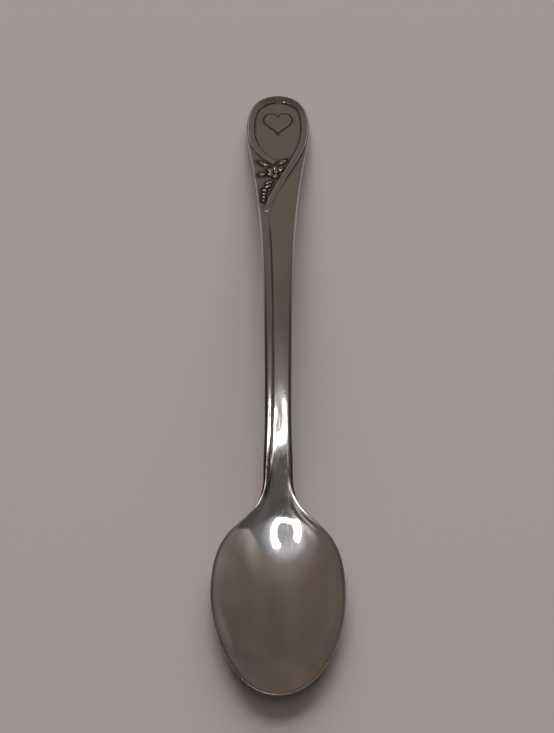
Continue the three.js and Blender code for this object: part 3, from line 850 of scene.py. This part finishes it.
# The light: a bent tube lamp on the ceiling, with a gap and one drawn-out corner, soft lights that
# the metal doesn't mirror, and a dim brown room, darker on the side where the camera stands.
LAMP_AWAY = 1.2
LAMP_STRENGTH = 12
# Ways from the spoon to the lamp, to its corner, and to two lit spots on the walls.
LAMP_MIDDLE = (-0.074, -0.158, 0.985)
LAMP_CORNER = (-0.42, -0.31, 0.853)
LOW_SPOT = (-0.62, -0.48, 0.63)
SIDE_SPOT = (0.77, 0.53, 0.36)
# The lamp's edges, as X and Y of the way to them on a dome: from the gap to the corner, then back to the gap.
LAMP_OUTER = [
    [(0.035, -0.03), (0.07, -0.1), (0.072, -0.205), (0.047, -0.28),
     (-0.05, -0.286), (-0.14, -0.29), (-0.25, -0.305), (-0.37, -0.38)],
    [(-0.37, -0.38), (-0.31, -0.27), (-0.265, -0.2), (-0.222, -0.12), (-0.19, -0.075)],
]
LAMP_INNER = [
    [(-0.02, -0.04), (0.022, -0.1), (0.022, -0.17), (-0.01, -0.228),
     (-0.06, -0.247), (-0.11, -0.252), (-0.15, -0.252), (-0.185, -0.25)],
    [(-0.185, -0.25), (-0.185, -0.2), (-0.175, -0.16), (-0.16, -0.12), (-0.15, -0.09)],
]
LAMP_ROWS = (65, 32)  # steps of the band before and after the corner
lamp_bm = plate(1, sum(LAMP_ROWS) - 1)


def lamp_edge(runs):
    return np.concatenate([clamped_spline(run, rows) for run, rows in zip(runs, LAMP_ROWS)])


def lamp_spot(across, row, top):
    i = np.round((row + 1) / 2 * (sum(LAMP_ROWS) - 1)).astype(int)
    x, y = np.where(across > 0, lamp_edge(LAMP_OUTER)[i].T, lamp_edge(LAMP_INNER)[i].T)
    return np.stack([x, y, np.sqrt(1 - x * x - y * y)], 1) * (LAMP_AWAY + top * MM)[:, None]


press(lamp_bm, lamp_spot)
lamp_mesh = bpy.data.meshes.new("ceiling_lamp")
lamp_bm.to_mesh(lamp_mesh)
lamp_bm.free()
lamp = bpy.data.objects.new("ceiling_lamp", lamp_mesh)
bpy.context.collection.objects.link(lamp)
lamp_glow = bpy.data.materials.new("lamp_glow")
lamp_glow.use_nodes = True
glow_shader = lamp_glow.node_tree.nodes["Principled BSDF"]
glow_shader.inputs["Emission Color"].default_value = (1, 0.98, 0.96, 1)
glow_shader.inputs["Emission Strength"].default_value = LAMP_STRENGTH
lamp_mesh.materials.append(lamp_glow)
lamp.visible_diffuse = False


def soft_light(name, size, energy, place):
    """A soft rectangle of light that faces the spoon and that the metal doesn't mirror."""
    light = bpy.data.objects.new(name, bpy.data.lights.new(name, "AREA"))
    light.data.shape = "RECTANGLE"
    light.data.size, light.data.size_y = size
    light.data.energy = energy
    light.location = place
    light.rotation_euler = (-light.location).to_track_quat("-Z", "Y").to_euler()
    light.visible_glossy = False
    bpy.context.collection.objects.link(light)


soft_light("far_light", (1.8, 0.8), 46, (-0.1, 1.8, 2.4))
soft_light("wide_fill", (4, 2), 112, (0.2, 3, 1.8))
soft_light("ceiling_fill", (0.6, 0.6), 1.6, (0, 0, 1.2))

ROOM_LEVEL = 0.87
ROOM_UNEVEN = 2.2
# A doorway with sloping sides, by X and Y of the way to its parts.
DOORWAY_MIDDLE = 0.075
DOORWAY_TOP = 0.085  # where the slopes of its two sides would meet
DOORWAY_LINTEL = 0.03  # where it ends instead
DOORWAY_EDGE = 0.015  # half the width of its soft edge
SIDE_SLOPE = 0.5  # slope of its sides low down, for each unit of the slope higher up
SIDE_SHIFT = 0.18
room = bpy.data.worlds.new("dim_room")
room.use_nodes = True
room_nodes = room.node_tree.nodes
room_links = room.node_tree.links
look = room_nodes.new("ShaderNodeTexCoord").outputs["Generated"]


def room_node(kind, inputs, **settings):
    """A node of the room's light, with its inputs linked or set by their place."""
    node = room_nodes.new(kind)
    for name, value in settings.items():
        setattr(node, name, value)
    for place, value in inputs.items():
        if isinstance(value, bpy.types.NodeSocket):
            room_links.new(value, node.inputs[place])
        else:
            node.inputs[place].default_value = value
    return node


def grey(level):
    return (level, level, level)


def room_ramp(value, *stops):
    """A colour by stops of a value and the colour there."""
    node = room_node("ShaderNodeValToRGB", {0: value})
    elements = node.color_ramp.elements
    while len(elements) < len(stops):
        elements.new(1)
    for element, (position, colour) in zip(elements, stops):
        element.position = position
        element.color = (*colour, 1)
    return node.outputs["Color"]


def room_mix(way, a, b, share=1.0):
    node = room_node("ShaderNodeMix", {0: share, 6: a, 7: b}, data_type="RGBA", blend_type=way)
    return node.outputs[2]


def room_math(operation, a, b=0.0, c=0.0):
    return room_node("ShaderNodeMath", {0: a, 1: b, 2: c}, operation=operation).outputs[0]


def room_step(value, low, high):
    """A smooth step from 0 at low to 1 at high."""
    node = room_node("ShaderNodeMapRange", {0: value, 1: low, 2: high}, interpolation_type="SMOOTHSTEP")
    return node.outputs[0]


def room_cut(light, low, high):
    """Light that fades out towards the camera's side, from high to low."""
    kept = room_ramp(room_step(onward, low, high), (0, grey(0)), (1, grey(1)))
    return room_mix("MULTIPLY", light, kept)


def room_glow(way, *stops):
    """Light round a direction, by stops of the angle from it in degrees and the colour there."""
    unit = Vector(way).normalized()
    towards = room_node("ShaderNodeVectorMath", {0: look, 1: unit}, operation="DOT_PRODUCT")
    angle = room_math("ARCCOSINE", towards.outputs["Value"])
    widest = stops[-1][0]
    share = room_math("DIVIDE", angle, math.radians(widest))
    return room_ramp(share, *[(degrees / widest, colour) for degrees, colour in stops])


# Brown walls and ceiling, with a soft unevenness, a little darker on the far side and greyer on the right.
split = room_node("ShaderNodeSeparateXYZ", {0: look})
aside = split.outputs["X"]
onward = split.outputs["Y"]
share_aside = room_math("MULTIPLY_ADD", aside, 0.5, 0.5)
uneven = room_node("ShaderNodeTexNoise", {"Vector": look, "Scale": ROOM_UNEVEN, "Detail": 1.0}).outputs["Fac"]
walls = room_ramp(uneven, (0.3, (0.165, 0.123, 0.106)), (0.7, (0.215, 0.16, 0.134)))
far_side = room_ramp(
    onward, (0.2, grey(1)), (0.36, (0.87, 0.87, 0.88)), (0.66, (0.84, 0.85, 0.87)),
    (0.9, (0.95, 0.94, 0.94)))
left_to_right = room_ramp(
    share_aside, (0.1, (0.8, 0.8, 0.82)), (0.3, grey(1)), (0.7, grey(1)), (0.82, (1.22, 1.22, 1.24)))
tints = room_ramp(
    share_aside, (0.12, (1.05, 1.08, 1.1)), (0.3, (1.01, 1.02, 1.03)), (0.45, (0.97, 0.99, 1.01)),
    (0.58, (0.96, 1, 1.05)), (0.72, (0.9, 0.96, 1.04)), (0.85, (1.04, 1.12, 1.21)))
walls = room_mix("MULTIPLY", room_mix("MULTIPLY", walls, far_side), tints)
walls = room_mix("MULTIPLY", walls, left_to_right, room_step(onward, 0.45, 0.25))
# The dark doorway behind the camera, and the wall on the right of it that the lamp lights.
from_middle = room_math("ABSOLUTE", room_math("SUBTRACT", aside, DOORWAY_MIDDLE))
bent = room_math("MINIMUM", from_middle, room_math("MULTIPLY_ADD", from_middle, SIDE_SLOPE, SIDE_SHIFT))
past_side = room_math("SUBTRACT", room_math("ADD", onward, bent), DOORWAY_TOP)
past_doorway = room_math("MAXIMUM", past_side, room_math("SUBTRACT", onward, DOORWAY_LINTEL))
lit_wall = room_ramp(
    past_doorway, (0, (0.26, 0.275, 0.28)), (0.06, (0.25, 0.26, 0.26)), (0.12, (0.17, 0.17, 0.165)),
    (0.2, (0.09, 0.085, 0.08)), (0.28, (0.05, 0.045, 0.04)), (0.4, grey(0)))
lit_part = room_math("MULTIPLY", room_step(aside, 0.13, 0.3), room_step(aside, 0.75, 0.45))
walls = room_mix("ADD", walls, lit_wall, lit_part)
dark = room_ramp(
    aside, (0.1, (0.1, 0.094, 0.094)), (0.3, (0.15, 0.147, 0.147)), (0.5, (0.11, 0.105, 0.105)),
    (0.8, (0.085, 0.08, 0.08)))
walls = room_mix("MIX", walls, dark, room_step(past_doorway, DOORWAY_EDGE, -DOORWAY_EDGE))
# The lamp's glow on the ceiling round it and round its corner, cut off towards the camera, and two lit spots.
lamp_light = room_glow(
    LAMP_MIDDLE, (0, (0.45, 0.48, 0.5)), (4, (0.35, 0.38, 0.42)), (7, (0.36, 0.42, 0.48)),
    (10.5, (0.52, 0.55, 0.63)), (12.2, (0.36, 0.39, 0.45)), (14, (0.19, 0.215, 0.25)),
    (16, (0.1, 0.105, 0.115)), (24, grey(0.03)), (30, grey(0)))
walls = room_mix("ADD", walls, room_cut(lamp_light, -0.31, -0.21))
corner_light = room_glow(
    LAMP_CORNER, (0, grey(0.7)), (4, grey(0.55)), (8, grey(0.28)), (12, grey(0.12)), (16, grey(0.03)),
    (20, grey(0)))
walls = room_mix("ADD", walls, room_cut(corner_light, -0.41, -0.35))
low_light = room_glow(LOW_SPOT, (0, grey(0.5)), (4, grey(0.36)), (7, grey(0.09)), (10, grey(0)))
walls = room_mix("ADD", walls, low_light)
side_light = room_glow(SIDE_SPOT, (0, grey(0.06)), (5, grey(0.05)), (11, grey(0)))
walls = room_mix("ADD", walls, side_light)
seen = room_node("ShaderNodeLightPath", {}).outputs["Is Camera Ray"]
walls = room_mix("MIX", walls, (*[tone / ROOM_LEVEL for tone in TABLE_TONE], 1), seen)
room_links.new(walls, room_nodes["Background"].inputs["Color"])
room_nodes["Background"].inputs["Strength"].default_value = ROOM_LEVEL
bpy.context.scene.world = room

# The camera looks down along the spoon from the bowl's side.
CAMERA_AWAY = 0.274
CAMERA_TILT = math.radians(30)  # from straight down
CAMERA_LENS = 69.15  # in millimetres
AIM = Vector((-0.0002, -0.003867, 0.006))
camera = bpy.data.objects.new("camera", bpy.data.cameras.new("camera"))
camera.data.lens = CAMERA_LENS
camera.location = AIM + CAMERA_AWAY * Vector((0, -math.sin(CAMERA_TILT), math.cos(CAMERA_TILT)))
camera.rotation_euler = (CAMERA_TILT, 0, 0)
camera.data.clip_start = 0.01
bpy.context.collection.objects.link(camera)
bpy.context.scene.camera = camera
bpy.context.scene.view_settings.view_transform = "Standard"
